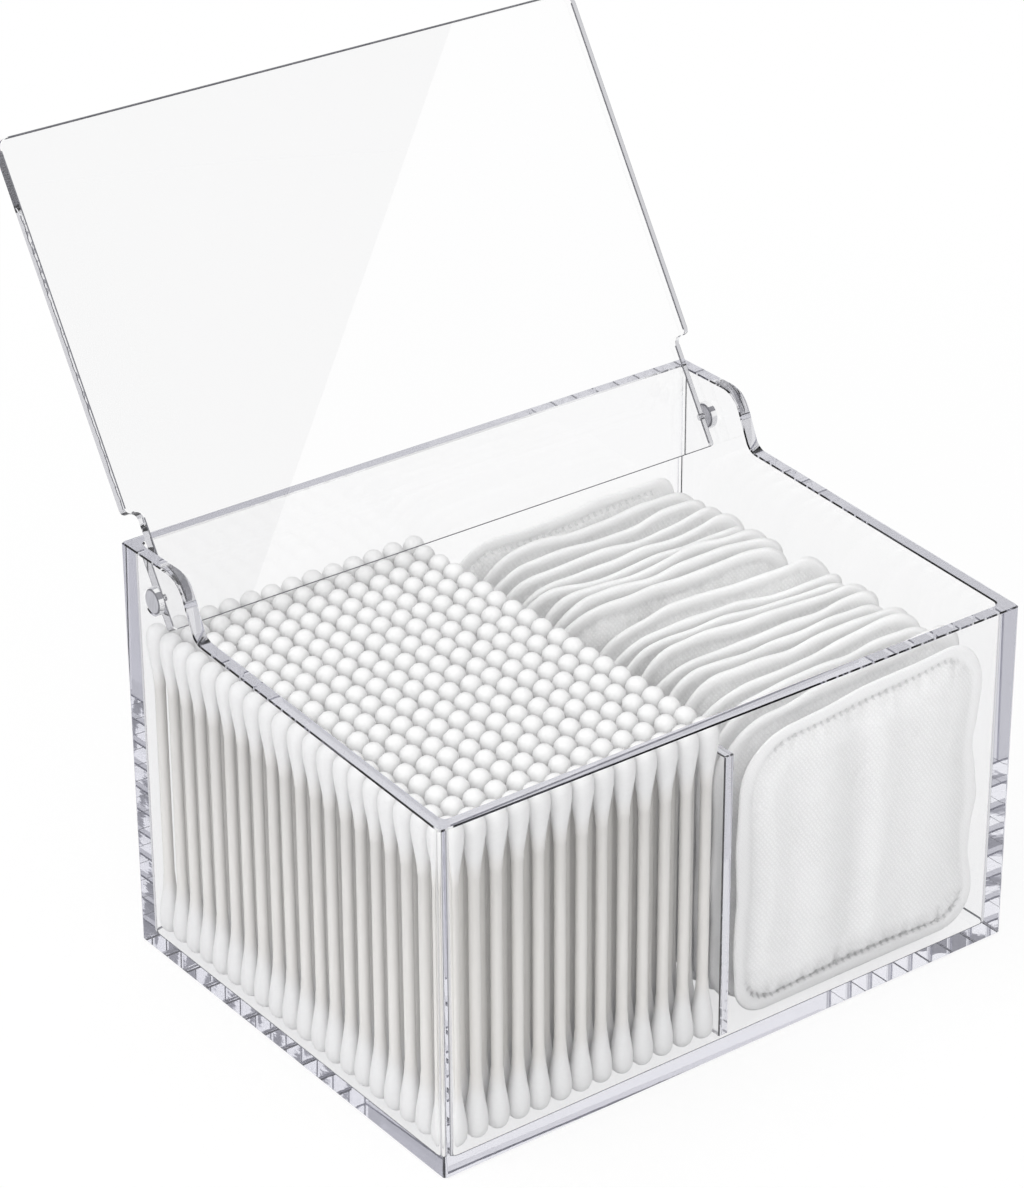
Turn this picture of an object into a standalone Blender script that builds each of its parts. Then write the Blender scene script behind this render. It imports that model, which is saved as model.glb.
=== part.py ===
"""Clear acrylic dispenser with two compartments and a hinged lid, filled with cotton swabs and cotton pads.

Frame: +X to the right, +Y to the back, +Z up, origin on the table under the middle of the tray.
The lid stands open, leaning on the back wall, as it rests in use. All lengths are in metres.
"""

import math

import bmesh
import bpy

MM = 0.001

# Driving sizes of what the tray holds
SWAB_LENGTH = 73 * MM
BUD_WIDTH = 4.8 * MM                  # cotton bud across its widest part
SWAB_PITCH = 5.07 * MM                # one swab to the next in a row, front to back
SWAB_ROWS = 13
SWABS_IN_ROW = 20
PAD_WIDTH = 65 * MM
PAD_HEIGHT = 67 * MM
PAD_COUNT = 20

# Clearances
SEAT_GAP = 0.3 * MM                   # between pieces that touch
HEADROOM = 1.7 * MM                   # from the tallest thing in the tray to the front rim
PAD_SIDE_ROOM = 2.5 * MM              # beside the pads, left and right
LID_SIDE_GAP = 0.8 * MM               # between the lid's tail and each ear
LID_INSET = 0.4 * MM                  # lid edge inside the tray's outer faces
TAIL_BACK_GAP = 1.1 * MM              # between the shut lid's tail and the back wall
CUT_OVERRUN = 2 * MM                  # how far a cutter passes a face

# Driving sizes of the tray and its divider
WALL = 3 * MM
FLOOR = 3 * MM
RIM_RISE = math.radians(2.9)          # the side rims climb towards the back
DIVIDER_THICKNESS = 2.4 * MM
DIVIDER_DROP = 9.6 * MM               # top of the divider below the front rim

# Driving sizes of the lid and its hinge
LID_THICKNESS = 3 * MM
PIN_SETBACK = 10.9 * MM               # pin axis to the tray's back face
PIN_DIAMETER = 5.4 * MM
EAR_OVER_PIN = 9.1 * MM               # top of the ears above the pin axis

# The tray is as large as its contents need
SWAB_ROOM = SWAB_ROWS * (BUD_WIDTH + SEAT_GAP) + SEAT_GAP
PAD_ROOM = PAD_WIDTH + 2 * PAD_SIDE_ROOM
INNER_WIDTH = SWAB_ROOM + DIVIDER_THICKNESS + PAD_ROOM
INNER_DEPTH = SWABS_IN_ROW * SWAB_PITCH + 2 * SEAT_GAP
TRAY_WIDTH = INNER_WIDTH + 2 * WALL
TRAY_DEPTH = INNER_DEPTH + 2 * WALL
REST_Z = FLOOR + SEAT_GAP
FRONT_HEIGHT = REST_Z + max(SWAB_LENGTH, PAD_HEIGHT) + HEADROOM
DIVIDER_LEFT = SWAB_ROOM - INNER_WIDTH / 2
PAD_ROOM_LEFT = DIVIDER_LEFT + DIVIDER_THICKNESS


def rim_height(y):
    """Height of the side rims at y, in front of the ears."""
    return FRONT_HEIGHT + math.tan(RIM_RISE) * (y + TRAY_DEPTH / 2)


# The shut lid lies on the rims, and the pin axis runs through the middle of its thickness
PIN_Y = TRAY_DEPTH / 2 - PIN_SETBACK
PIN_Z = rim_height(PIN_Y) + (LID_THICKNESS / 2 + SEAT_GAP) / math.cos(RIM_RISE)
EAR_HEIGHT = PIN_Z + EAR_OVER_PIN


def lid_open_angle():
    """Angle of the lid from level, with its upper face against the back wall's inner top edge."""
    behind = PIN_SETBACK - WALL
    reach = math.hypot(behind, EAR_OVER_PIN)
    return math.pi - math.asin((LID_THICKNESS / 2 + SEAT_GAP) / reach) - math.atan2(EAR_OVER_PIN, behind)


def clear_scene():
    for item in list(bpy.data.objects):
        bpy.data.objects.remove(item, do_unlink=True)


def make_material(name, colour, roughness, transmission=0.0):
    material = bpy.data.materials.new(name)
    material.use_nodes = True
    shader = material.node_tree.nodes["Principled BSDF"]
    shader.inputs["Base Color"].default_value = (*colour, 1.0)
    shader.inputs["Roughness"].default_value = roughness
    shader.inputs["Metallic"].default_value = 0.0
    shader.inputs["Transmission Weight"].default_value = transmission
    return material


def add_object(name, mesh_builder, material, location=(0, 0, 0), rotation=(0, 0, 0)):
    """Turn a bmesh into one named object, with its faces turned outwards."""
    bmesh.ops.recalc_face_normals(mesh_builder, faces=mesh_builder.faces)
    mesh = bpy.data.meshes.new(name)
    mesh_builder.to_mesh(mesh)
    mesh_builder.free()
    mesh.materials.append(material)
    item = bpy.data.objects.new(name, mesh)
    item.location = location
    item.rotation_euler = rotation
    bpy.context.scene.collection.objects.link(item)
    return item


def add_cutter(target, name, mesh_builder, location=(0, 0, 0), rotation=(0, 0, 0)):
    """Cut a shape out of target. The shape stays as a hidden helper."""
    bmesh.ops.recalc_face_normals(mesh_builder, faces=mesh_builder.faces)
    mesh = bpy.data.meshes.new(name)
    mesh_builder.to_mesh(mesh)
    mesh_builder.free()
    cutter = bpy.data.objects.new(name, mesh)
    cutter.location = location
    cutter.rotation_euler = rotation
    cutter.hide_render = True
    cutter.display_type = "WIRE"
    cutter.parent = target.parent
    bpy.context.scene.collection.objects.link(cutter)
    cut = target.modifiers.new(name, "BOOLEAN")
    cut.operation = "DIFFERENCE"
    cut.object = cutter
    cut.solver = "EXACT"
    return cutter


def arc(centre, radius, start, end, steps):
    """Points on an arc in a plane, ends included. Angles in degrees from the first axis."""
    points = []
    for step in range(steps + 1):
        angle = math.radians(start + (end - start) * step / steps)
        points.append((centre[0] + radius * math.cos(angle), centre[1] + radius * math.sin(angle)))
    return points


def rounded_rectangle(left, front, right, back, radius, steps):
    """Outline of a rectangle with round corners, anticlockwise."""
    outline = []
    outline += arc((right - radius, front + radius), radius, -90, 0, steps)
    outline += arc((right - radius, back - radius), radius, 0, 90, steps)
    outline += arc((left + radius, back - radius), radius, 90, 180, steps)
    outline += arc((left + radius, front + radius), radius, 180, 270, steps)
    return outline


def extrude_outline(points, place, travel):
    """A prism: the outline put in space by place(a, b), then moved along travel."""
    shape = bmesh.new()
    bottom = [shape.verts.new(place(a, b)) for a, b in points]
    face = shape.faces.new(bottom)
    extruded = bmesh.ops.extrude_face_region(shape, geom=[face])
    moved = [item for item in extruded["geom"] if isinstance(item, bmesh.types.BMVert)]
    bmesh.ops.translate(shape, verts=moved, vec=travel)
    return shape


def turned_along_x(stations, sides):
    """A turned piece on the X axis from (x, radius) stations, with flat ends."""
    shape = bmesh.new()
    rings = []
    for x, radius in stations:
        ring = []
        for side in range(sides):
            angle = 2 * math.pi * side / sides
            ring.append(shape.verts.new((x, radius * math.cos(angle), radius * math.sin(angle))))
        rings.append(ring)
    for near, far in zip(rings, rings[1:]):
        for side in range(sides):
            following = (side + 1) % sides
            shape.faces.new((near[side], far[side], far[following], near[following]))
    shape.faces.new(rings[0])
    shape.faces.new(rings[-1])
    return shape


# Tray: one moulding, open on top, with an ear at the back of each side wall
EAR_TOP_LENGTH = 17 * MM              # level top of the ear, front to back
SHOULDER_RADIUS = 6.3 * MM            # round front of the ear
VALLEY_RADIUS = 3.4 * MM              # hollow where the ear meets the rim
EAR_LEAN = math.radians(25)           # slope of the S-curve between its two arcs
INNER_CORNER_RADIUS = 1.6 * MM
FLOOR_FILLET = 0.8 * MM               # small radius round the floor inside
OUTER_EDGE_BEVEL = 0.8 * MM
PIN_HOLE_RADIUS = PIN_DIAMETER / 2 + SEAT_GAP
ARC_STEPS = 6
CORNER_STEPS = 3
HOLE_SIDES = 24


def ear_curve():
    """Side profile of the rim in the Y-Z plane, from the ear's level top down to the rim.

    A convex arc and a hollow arc, both tangent to one leaning line, and the hollow one tangent to the rim.
    """
    lean = math.degrees(EAR_LEAN)
    rise = math.degrees(RIM_RISE)
    shoulder = (TRAY_DEPTH / 2 - EAR_TOP_LENGTH, EAR_HEIGHT - SHOULDER_RADIUS)
    outward = (-math.cos(EAR_LEAN), math.sin(EAR_LEAN))
    downward = (-math.sin(EAR_LEAN), -math.cos(EAR_LEAN))
    both = SHOULDER_RADIUS + VALLEY_RADIUS
    start = (shoulder[0] + both * outward[0], shoulder[1] + both * outward[1])
    excess = start[1] - rim_height(start[0]) - VALLEY_RADIUS / math.cos(RIM_RISE)
    travel = excess / (math.tan(RIM_RISE) * downward[0] - downward[1])
    valley = (start[0] + travel * downward[0], start[1] + travel * downward[1])
    points = arc(shoulder, SHOULDER_RADIUS, 90, 180 - lean, ARC_STEPS)
    points += arc(valley, VALLEY_RADIUS, -lean, -90 + rise, ARC_STEPS)
    return points


def is_outer_edge(edge):
    """True for the tray's four upright corners and the edges round its underside."""
    one, other = (vert.co for vert in edge.verts)
    upright = one.x == other.x and one.y == other.y
    underside = one.z == 0 and other.z == 0
    return upright or underside


def make_tray(material):
    back = TRAY_DEPTH / 2
    profile = [(back, 0), (back, EAR_HEIGHT)]
    profile += ear_curve()
    profile += [(-back, FRONT_HEIGHT), (-back, 0)]
    shell = extrude_outline(profile, lambda y, z: (-TRAY_WIDTH / 2, y, z), (TRAY_WIDTH, 0, 0))
    rounded = [edge for edge in shell.edges if is_outer_edge(edge)]
    bmesh.ops.bevel(shell, geom=rounded, offset=OUTER_EDGE_BEVEL, segments=2, profile=0.5, affect="EDGES")
    tray = add_object("tray", shell, material)

    hollow = rounded_rectangle(
        -INNER_WIDTH / 2, -INNER_DEPTH / 2, INNER_WIDTH / 2, INNER_DEPTH / 2, INNER_CORNER_RADIUS, CORNER_STEPS)
    room = extrude_outline(hollow, lambda x, y: (x, y, FLOOR), (0, 0, EAR_HEIGHT + CUT_OVERRUN - FLOOR))
    floor_edges = [edge for edge in room.edges if max(vert.co.z for vert in edge.verts) < FRONT_HEIGHT]
    bmesh.ops.bevel(room, geom=floor_edges, offset=FLOOR_FILLET, segments=1, profile=0.5, affect="EDGES")
    add_cutter(tray, "tray_room_cutter", room)

    half = TRAY_WIDTH / 2 + CUT_OVERRUN
    holes = turned_along_x([(-half, PIN_HOLE_RADIUS), (half, PIN_HOLE_RADIUS)], HOLE_SIDES)
    add_cutter(tray, "pin_hole_cutter", holes, location=(0, PIN_Y, PIN_Z))
    return tray


# Divider: a plate glued between the front and back walls
DIVIDER_EDGE_BEVEL = 0.3 * MM


def is_long_top_edge(edge):
    """True for the two edges that run along the top of the divider."""
    one, other = (vert.co for vert in edge.verts)
    return one.x == other.x and one.z == other.z and one.z > FRONT_HEIGHT / 2


def make_divider(material):
    half_depth = INNER_DEPTH / 2 - SEAT_GAP
    foot = FLOOR_FILLET
    top = FRONT_HEIGHT - DIVIDER_DROP
    side = [
        (-half_depth + foot, REST_Z),
        (half_depth - foot, REST_Z),
        (half_depth, REST_Z + foot),
        (half_depth, top),
        (-half_depth, top),
        (-half_depth, REST_Z + foot),
    ]
    plate = extrude_outline(side, lambda y, z: (DIVIDER_LEFT, y, z), (DIVIDER_THICKNESS, 0, 0))
    top_edges = [edge for edge in plate.edges if is_long_top_edge(edge)]
    bmesh.ops.bevel(plate, geom=top_edges, offset=DIVIDER_EDGE_BEVEL, segments=1, profile=0.5, affect="EDGES")
    return add_object("divider", plate, material)


# Lid: a flat plate with a narrower tail that turns between the ears
LID_FRONT_CORNER = 2.5 * MM
LID_REAR_CORNER = 1.2 * MM
TAIL_CORNER = 2 * MM
NOTCH_FILLET = 1.6 * MM
LID_EDGE_BEVEL = 0.35 * MM
NOTCH_GAP = 0.4 * MM                  # lid to the foot of the ear's curve, when shut
PIN_TIP_DIAMETER = 1.5 * MM
PIN_TIP_LENGTH = 4 * MM
PIN_BORE_RADIUS = PIN_TIP_DIAMETER / 2 + SEAT_GAP
BORE_SIDES = 16
TAIL_HALF_WIDTH = INNER_WIDTH / 2 - LID_SIDE_GAP


def lid_outline():
    """Outline of the lid in its own plane: x across, y along, with the pin axis at y = 0."""
    foot_y = ear_curve()[-1][0]
    shoulder_y = -(PIN_Y - foot_y) / math.cos(RIM_RISE) - NOTCH_GAP
    front_y = -(PIN_Y + TRAY_DEPTH / 2) / math.cos(RIM_RISE) + LID_INSET
    tail_y = PIN_SETBACK - WALL - TAIL_BACK_GAP
    wide = TRAY_WIDTH / 2 - LID_INSET
    right = arc((wide - LID_FRONT_CORNER, front_y + LID_FRONT_CORNER), LID_FRONT_CORNER, -90, 0, CORNER_STEPS)
    right += arc((wide - LID_REAR_CORNER, shoulder_y - LID_REAR_CORNER), LID_REAR_CORNER, 0, 90, CORNER_STEPS)
    right += arc((TAIL_HALF_WIDTH + NOTCH_FILLET, shoulder_y + NOTCH_FILLET), NOTCH_FILLET, 270, 180, CORNER_STEPS)
    right += arc((TAIL_HALF_WIDTH - TAIL_CORNER, tail_y - TAIL_CORNER), TAIL_CORNER, 0, 90, CORNER_STEPS)
    left = [(-x, y) for x, y in reversed(right)]
    return right + left


def make_lid(material, hinge):
    plate = extrude_outline(
        lid_outline(), lambda x, y: (x, y, -LID_THICKNESS / 2), (0, 0, LID_THICKNESS))
    rims = [edge for edge in plate.edges if edge.verts[0].co.z == edge.verts[1].co.z]
    bmesh.ops.bevel(plate, geom=rims, offset=LID_EDGE_BEVEL, segments=1, profile=0.5, affect="EDGES")
    lid = add_object("lid", plate, material)
    lid.parent = hinge
    for name, side in (("left", -1), ("right", 1)):
        inner = side * (TAIL_HALF_WIDTH - PIN_TIP_LENGTH)
        outer = side * (TAIL_HALF_WIDTH + CUT_OVERRUN)
        bore = turned_along_x([(inner, PIN_BORE_RADIUS), (outer, PIN_BORE_RADIUS)], BORE_SIDES)
        add_cutter(lid, "lid_bore_cutter_" + name, bore)
    return lid


# Hinge pins: a round stud through the ear, with a thin tip in the bore of the lid's edge
PIN_SIDES = 24
PIN_END_CHAMFER = 0.3 * MM


def make_pin(name, side, material):
    stud = PIN_DIAMETER / 2
    tip = PIN_TIP_DIAMETER / 2
    inner_face = TRAY_WIDTH / 2 - WALL
    tip_end = TAIL_HALF_WIDTH - PIN_TIP_LENGTH + SEAT_GAP
    stations = [
        (tip_end, tip - PIN_END_CHAMFER),
        (tip_end + PIN_END_CHAMFER, tip),
        (inner_face, tip),
        (inner_face, stud - PIN_END_CHAMFER),
        (inner_face + PIN_END_CHAMFER, stud),
        (TRAY_WIDTH / 2 - PIN_END_CHAMFER, stud),
        (TRAY_WIDTH / 2, stud - PIN_END_CHAMFER),
    ]
    pin = turned_along_x([(side * x, radius) for x, radius in stations], PIN_SIDES)
    return add_object(name, pin, material, location=(0, PIN_Y, PIN_Z))


# Cotton swabs: paper sticks with a teardrop of cotton on each end, packed in straight rows
STICK_RADIUS = 1.25 * MM
BUD_LENGTH = 15 * MM
BUD_NOSE = 2.2 * MM                   # round end of the bud, beyond its widest part
BUD_BAND = 2.3 * MM                   # height of the widest part, where neighbours touch
HEXAGON_SHARES = ((1, 0), (0.5, 1), (-0.5, 1), (-1, 0), (-0.5, -1), (0.5, -1))
BACK_FLAT = 1                         # side of the hexagon between its two back corners
FRONT_FLAT = 4
SHARED_CORNERS = {4: 2, 5: 1}         # front corners of a swab, and back corners of the one before it


def skin_swab(row, rings, foot, head, band, open_flats):
    """Faces of one swab, leaving out the flats that it shares with its neighbours."""
    sides = len(HEXAGON_SHARES)
    for side in range(sides):
        following = (side + 1) % sides
        row.faces.new((foot, rings[0][following], rings[0][side]))
        row.faces.new((head, rings[-1][side], rings[-1][following]))
        for level, (lower, upper) in enumerate(zip(rings, rings[1:])):
            if level == band and side in open_flats:
                continue
            row.faces.new((lower[side], lower[following], upper[following], upper[side]))


def make_swab_row(name, x, material):
    """One row of swabs from front to back. The cotton of neighbours touches, so the row is one body."""
    half_x = BUD_WIDTH / 2
    half_y = SWAB_PITCH / 2
    stick_y = STICK_RADIUS * math.sin(math.pi / 3)
    top = REST_Z + SWAB_LENGTH
    levels = [
        (REST_Z + BUD_NOSE, half_x, half_y - SEAT_GAP / 2),
        (REST_Z + BUD_LENGTH, STICK_RADIUS, stick_y),
        (top - BUD_LENGTH, STICK_RADIUS, stick_y),
        (top - BUD_NOSE - BUD_BAND, half_x, half_y),
        (top - BUD_NOSE, half_x, half_y),
    ]
    band = len(levels) - 2
    row = bmesh.new()
    before = None
    for index in range(SWABS_IN_ROW):
        y = -INNER_DEPTH / 2 + SEAT_GAP + half_y + index * SWAB_PITCH
        rings = []
        for level, (z, reach_x, reach_y) in enumerate(levels):
            ring = []
            for corner, (across, along) in enumerate(HEXAGON_SHARES):
                if before and level >= band and corner in SHARED_CORNERS:
                    ring.append(before[level][SHARED_CORNERS[corner]])
                else:
                    ring.append(row.verts.new((x + reach_x * across, y + reach_y * along, z)))
            rings.append(ring)
        open_flats = set()
        if before:
            open_flats.add(FRONT_FLAT)
        if index < SWABS_IN_ROW - 1:
            open_flats.add(BACK_FLAT)
        skin_swab(row, rings, row.verts.new((x, y, REST_Z)), row.verts.new((x, y, top)), band, open_flats)
        before = rings
    return add_object(name, row, material)


# Cotton pads: two layers pressed together round the edge, with a soft crown between
PAD_CORNER = 12 * MM
PAD_SEAM = 6 * MM                     # width of the slope from the pressed edge to the crown
PAD_GAP = 0.4 * MM                    # between the crowns of neighbours
PAD_SWAY = 0.9 * MM                   # how far the pads stand out of line, left and right
PAD_SWAY_STEP = 2.1                   # turn of the sway from one pad to the next, in radians
PAD_CORNER_STEPS = 3


def make_pad(name, index, material):
    pitch = (INNER_DEPTH - 2 * SEAT_GAP) / PAD_COUNT
    y = -INNER_DEPTH / 2 + SEAT_GAP + pitch * (index + 1 / 2)
    half_thick = (pitch - PAD_GAP) / 2
    middle = PAD_ROOM_LEFT + PAD_ROOM / 2 + PAD_SWAY * math.sin(PAD_SWAY_STEP * index)
    low = REST_Z
    high = REST_Z + PAD_HEIGHT
    edge = rounded_rectangle(
        middle - PAD_WIDTH / 2, low, middle + PAD_WIDTH / 2, high, PAD_CORNER, PAD_CORNER_STEPS)
    crown = rounded_rectangle(
        middle - PAD_WIDTH / 2 + PAD_SEAM, low + PAD_SEAM, middle + PAD_WIDTH / 2 - PAD_SEAM, high - PAD_SEAM,
        PAD_CORNER - PAD_SEAM, PAD_CORNER_STEPS)
    pad = bmesh.new()
    rim = [pad.verts.new((a, y, b)) for a, b in edge]
    for side in (-1, 1):
        ring = [pad.verts.new((a, y + side * half_thick, b)) for a, b in crown]
        pad.faces.new(ring)
        count = len(ring)
        for step in range(count):
            following = (step + 1) % count
            pad.faces.new((rim[step], rim[following], ring[following], ring[step]))
    return add_object(name, pad, material)


def main():
    clear_scene()
    acrylic = make_material("clear_acrylic", (0.93, 0.93, 0.95), 0.03, transmission=1.0)
    swab_cotton = make_material("swab_cotton", (0.86, 0.86, 0.85), 0.85)
    pad_cotton = make_material("pad_cotton", (0.89, 0.89, 0.89), 0.9)

    make_tray(acrylic)
    make_divider(acrylic)
    hinge = bpy.data.objects.new("lid_hinge_frame", None)
    hinge.location = (0, PIN_Y, PIN_Z)
    hinge.rotation_euler = (-lid_open_angle(), 0, 0)
    bpy.context.scene.collection.objects.link(hinge)
    make_lid(acrylic, hinge)
    make_pin("hinge_pin_left", -1, acrylic)
    make_pin("hinge_pin_right", 1, acrylic)

    for index in range(SWAB_ROWS):
        x = -INNER_WIDTH / 2 + SEAT_GAP + BUD_WIDTH / 2 + (BUD_WIDTH + SEAT_GAP) * index
        make_swab_row("swab_row_%02d" % (index + 1), x, swab_cotton)
    for index in range(PAD_COUNT):
        make_pad("cotton_pad_%02d" % (index + 1), index, pad_cotton)


main()
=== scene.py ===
import math

import bmesh
import bpy
import numpy as np
from mathutils import Matrix, Vector


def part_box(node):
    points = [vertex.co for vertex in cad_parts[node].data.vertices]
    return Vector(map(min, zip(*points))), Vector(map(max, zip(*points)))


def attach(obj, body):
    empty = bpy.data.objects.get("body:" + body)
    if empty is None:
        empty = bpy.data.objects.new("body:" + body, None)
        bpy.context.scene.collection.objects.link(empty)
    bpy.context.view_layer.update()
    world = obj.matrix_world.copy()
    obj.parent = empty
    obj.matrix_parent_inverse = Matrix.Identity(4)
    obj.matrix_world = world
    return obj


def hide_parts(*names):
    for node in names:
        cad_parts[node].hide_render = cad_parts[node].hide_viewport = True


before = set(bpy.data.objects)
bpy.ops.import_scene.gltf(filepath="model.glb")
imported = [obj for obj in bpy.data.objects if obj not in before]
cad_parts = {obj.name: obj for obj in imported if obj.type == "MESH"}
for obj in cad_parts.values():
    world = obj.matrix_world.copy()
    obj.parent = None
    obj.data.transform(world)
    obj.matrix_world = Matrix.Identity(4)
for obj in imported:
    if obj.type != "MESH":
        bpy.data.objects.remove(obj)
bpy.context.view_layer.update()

MM = 0.001


# Studio. A wide white table in soft light from three lamps, with white all round it. Clear acrylic shows its shape only
# by what its edges mirror, so mirrored light finds more: a room in eight greys, fine rows of lights on its ceiling, a
# grey screen, and a grey card whose straight border the open lid mirrors as a long slanted line.
def linear_colour(text):
    """Linear RGBA of an sRGB hex colour such as #E8E8EA."""
    shares = [int(text[place:place + 2], 16) / 255 for place in (1, 3, 5)]
    return (*[s / 12.92 if s <= 0.04045 else ((s + 0.055) / 1.055) ** 2.4 for s in shares], 1.0)


def add_node(tree, kind, settings=None, inputs=None):
    """Add a node. Settings are its properties, and inputs are plain values or sockets to link, by name or number."""
    node = tree.nodes.new(kind)
    for name, value in (settings or {}).items():
        setattr(node, name, value)
    for name, value in (inputs or {}).items():
        if isinstance(value, bpy.types.NodeSocket):
            tree.links.new(value, node.inputs[name])
        else:
            node.inputs[name].default_value = value
    return node


def math_of(tree, operation, *values):
    """Output of a Math node."""
    return add_node(tree, "ShaderNodeMath", {"operation": operation}, dict(enumerate(values))).outputs[0]


def product_of(tree, value, *others):
    """Output of a chain of multiplying Math nodes."""
    for other in others:
        value = math_of(tree, "MULTIPLY", value, other)
    return value


def ramp_of(tree, value, low, high, start=0.0, end=1.0):
    """A smooth step from start to end, while the value goes from low to high."""
    return add_node(tree, "ShaderNodeMapRange", {"interpolation_type": "SMOOTHSTEP"}, {
        "Value": value, "From Min": low, "From Max": high, "To Min": start, "To Max": end}).outputs["Result"]


def mix_of(tree, share, first, second):
    """Between two numbers."""
    return add_node(tree, "ShaderNodeMix", {"data_type": "FLOAT"}, {0: share, 2: first, 3: second}).outputs[0]


def tint_of(tree, share, first, second, blend="MIX"):
    """Between two colours, each an sRGB hex colour or a socket."""
    first, second = (linear_colour(colour) if isinstance(colour, str) else colour for colour in (first, second))
    return add_node(tree, "ShaderNodeMix", {"data_type": "RGBA", "blend_type": blend}, {
        0: share, 6: first, 7: second}).outputs[2]


def shader_of(tree, share, first, second):
    """Between two shaders."""
    return add_node(tree, "ShaderNodeMixShader", None, {0: share, 1: first, 2: second}).outputs[0]


def empty_material(name):
    """A new material without nodes, and its tree."""
    material = bpy.data.materials.new(name)
    material.use_nodes = True
    material.node_tree.nodes.clear()
    return material, material.node_tree


def object_from(name, vertices, faces, material=None):
    """A mesh object at the origin from plain lists."""
    mesh = bpy.data.meshes.new(name)
    mesh.from_pydata([tuple(v) for v in vertices], [], [tuple(f) for f in faces])
    mesh.update()
    item = bpy.data.objects.new(name, mesh)
    bpy.context.scene.collection.objects.link(item)
    if material:
        mesh.materials.append(material)
    return item


TABLE_RADIUS = 6.0
TABLE_SIDES = 96
TABLE_DROP = 0.1 * MM                  # the moulded floor stands proud of the table by this much
SHADOW_SHARE = 0.16                    # how much of the table's look is its lit surface near the box
SHADOW_FADE = (0.06, 0.45)             # where the shadow starts to fade and has faded, from the middle of the box
MIRRORED_ONCE, MIRRORED_TWICE, MIRRORED_MORE = 0.5, 1.5, 2.5   # limits between counts of mirrorings on a ray's way

# White paper. Where it is seen, it is mostly plain white, with a faint soft shadow near the box. Elsewhere it is lit
# paper, and light that the acrylic has mirrored goes through it to the room below.
table_paper, tree = empty_material("white_table_paper")
path = add_node(tree, "ShaderNodeLightPath").outputs
seen = math_of(tree, "MAXIMUM", path["Is Camera Ray"], path["Is Glossy Ray"])
seen = math_of(tree, "MAXIMUM", seen, path["Is Transmission Ray"])
place = add_node(tree, "ShaderNodeTexCoord").outputs["Object"]
distance = add_node(tree, "ShaderNodeVectorMath", {"operation": "LENGTH"}, {0: place}).outputs["Value"]
far = ramp_of(tree, distance, *SHADOW_FADE, 1 - SHADOW_SHARE, 1.0)
paper = add_node(tree, "ShaderNodeBsdfDiffuse", None, {"Color": linear_colour("#F2F2F2")}).outputs[0]
glow = add_node(tree, "ShaderNodeEmission", None, {"Color": linear_colour("#FFFFFF"), "Strength": 1.0}).outputs[0]
missed = add_node(tree, "ShaderNodeBsdfTransparent").outputs[0]
mirrored = math_of(tree, "GREATER_THAN", path["Glossy Depth"], MIRRORED_ONCE)
surface = shader_of(tree, mirrored, shader_of(tree, seen, paper, shader_of(tree, far, paper, glow)), missed)
add_node(tree, "ShaderNodeOutputMaterial", None, {"Surface": surface})

rim = [(TABLE_RADIUS * math.cos(math.tau * k / TABLE_SIDES), TABLE_RADIUS * math.sin(math.tau * k / TABLE_SIDES),
        -TABLE_DROP) for k in range(TABLE_SIDES)]
table = object_from("studio_table", rim, [range(TABLE_SIDES)], table_paper)

CARD_BORDER = (0.6909, -0.0168, -0.7227)  # looking this way from the box, the card's border is a straight line
CARD_FOOT = 0.2                        # how high its foot hangs, as a direction's upward part
CARD_GREY = 0.27
CEILING_BORDER = (0.1, 0.25)           # where walls turn to ceiling, in the same measure
ROW_SPACING = 0.006                    # between the ceiling's rows of lights, as seen from the box
ROW_START = 0.006                      # shifts the rows to where most of the rim's cells are lit
ROW_EDGE = (0.37, 0.47)                # how much of the ceiling the dark gaps take, and how soft they are
ROW_GREY = 0.36
SCREEN_BORDER = (1.0, -0.715, 0.0)     # a grey screen stands to the right of the back, up to this upright plane
SCREEN_GREY = 0.62
TONE_BLEND = 0.12                      # half the width over which two neighbouring greys of the room blend
ROOM_LIGHT = 0.69                      # what lights the cotton and the table
# How bright the room is in each direction that the acrylic's edges turn light to: right or left, back or front, up or
# down. The camera looks to the right, back and down.
ROOM = {
    (1, 1, 0): 0.80, (1, 1, 1): 0.95, (1, 0, 0): 0.68, (1, 0, 1): 0.92,
    (0, 1, 0): 0.66, (0, 1, 1): 0.80, (0, 0, 0): 0.76, (0, 0, 1): 0.60,
}

world = bpy.data.worlds.new("white_studio")
world.use_nodes = True
bpy.context.scene.world = world
tree = world.node_tree
tree.nodes.clear()
path = add_node(tree, "ShaderNodeLightPath").outputs
way = add_node(tree, "ShaderNodeTexCoord").outputs["Generated"]
split = add_node(tree, "ShaderNodeSeparateXYZ", None, {0: way}).outputs


def short_of(border):
    """Which directions lie short of a plane through the box, given by its normal."""
    along = add_node(tree, "ShaderNodeVectorMath", {"operation": "DOT_PRODUCT"}, {0: way, 1: border}).outputs["Value"]
    return math_of(tree, "LESS_THAN", along, 0.0)


shares = [ramp_of(tree, split[axis], -TONE_BLEND, TONE_BLEND) for axis in range(3)]
tones = ROOM
for axis in (2, 1, 0):
    tones = {key: mix_of(tree, shares[axis], tones[key + (0,)], tones[key + (1,)])
             for key in {key[:axis] for key in tones}}
to_right = math_of(tree, "GREATER_THAN", split[0], 0.0)
in_front = math_of(tree, "LESS_THAN", split[1], 0.0)
lifted = math_of(tree, "GREATER_THAN", split[2], CARD_FOOT)
overhead = ramp_of(tree, split[2], *CEILING_BORDER)
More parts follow.
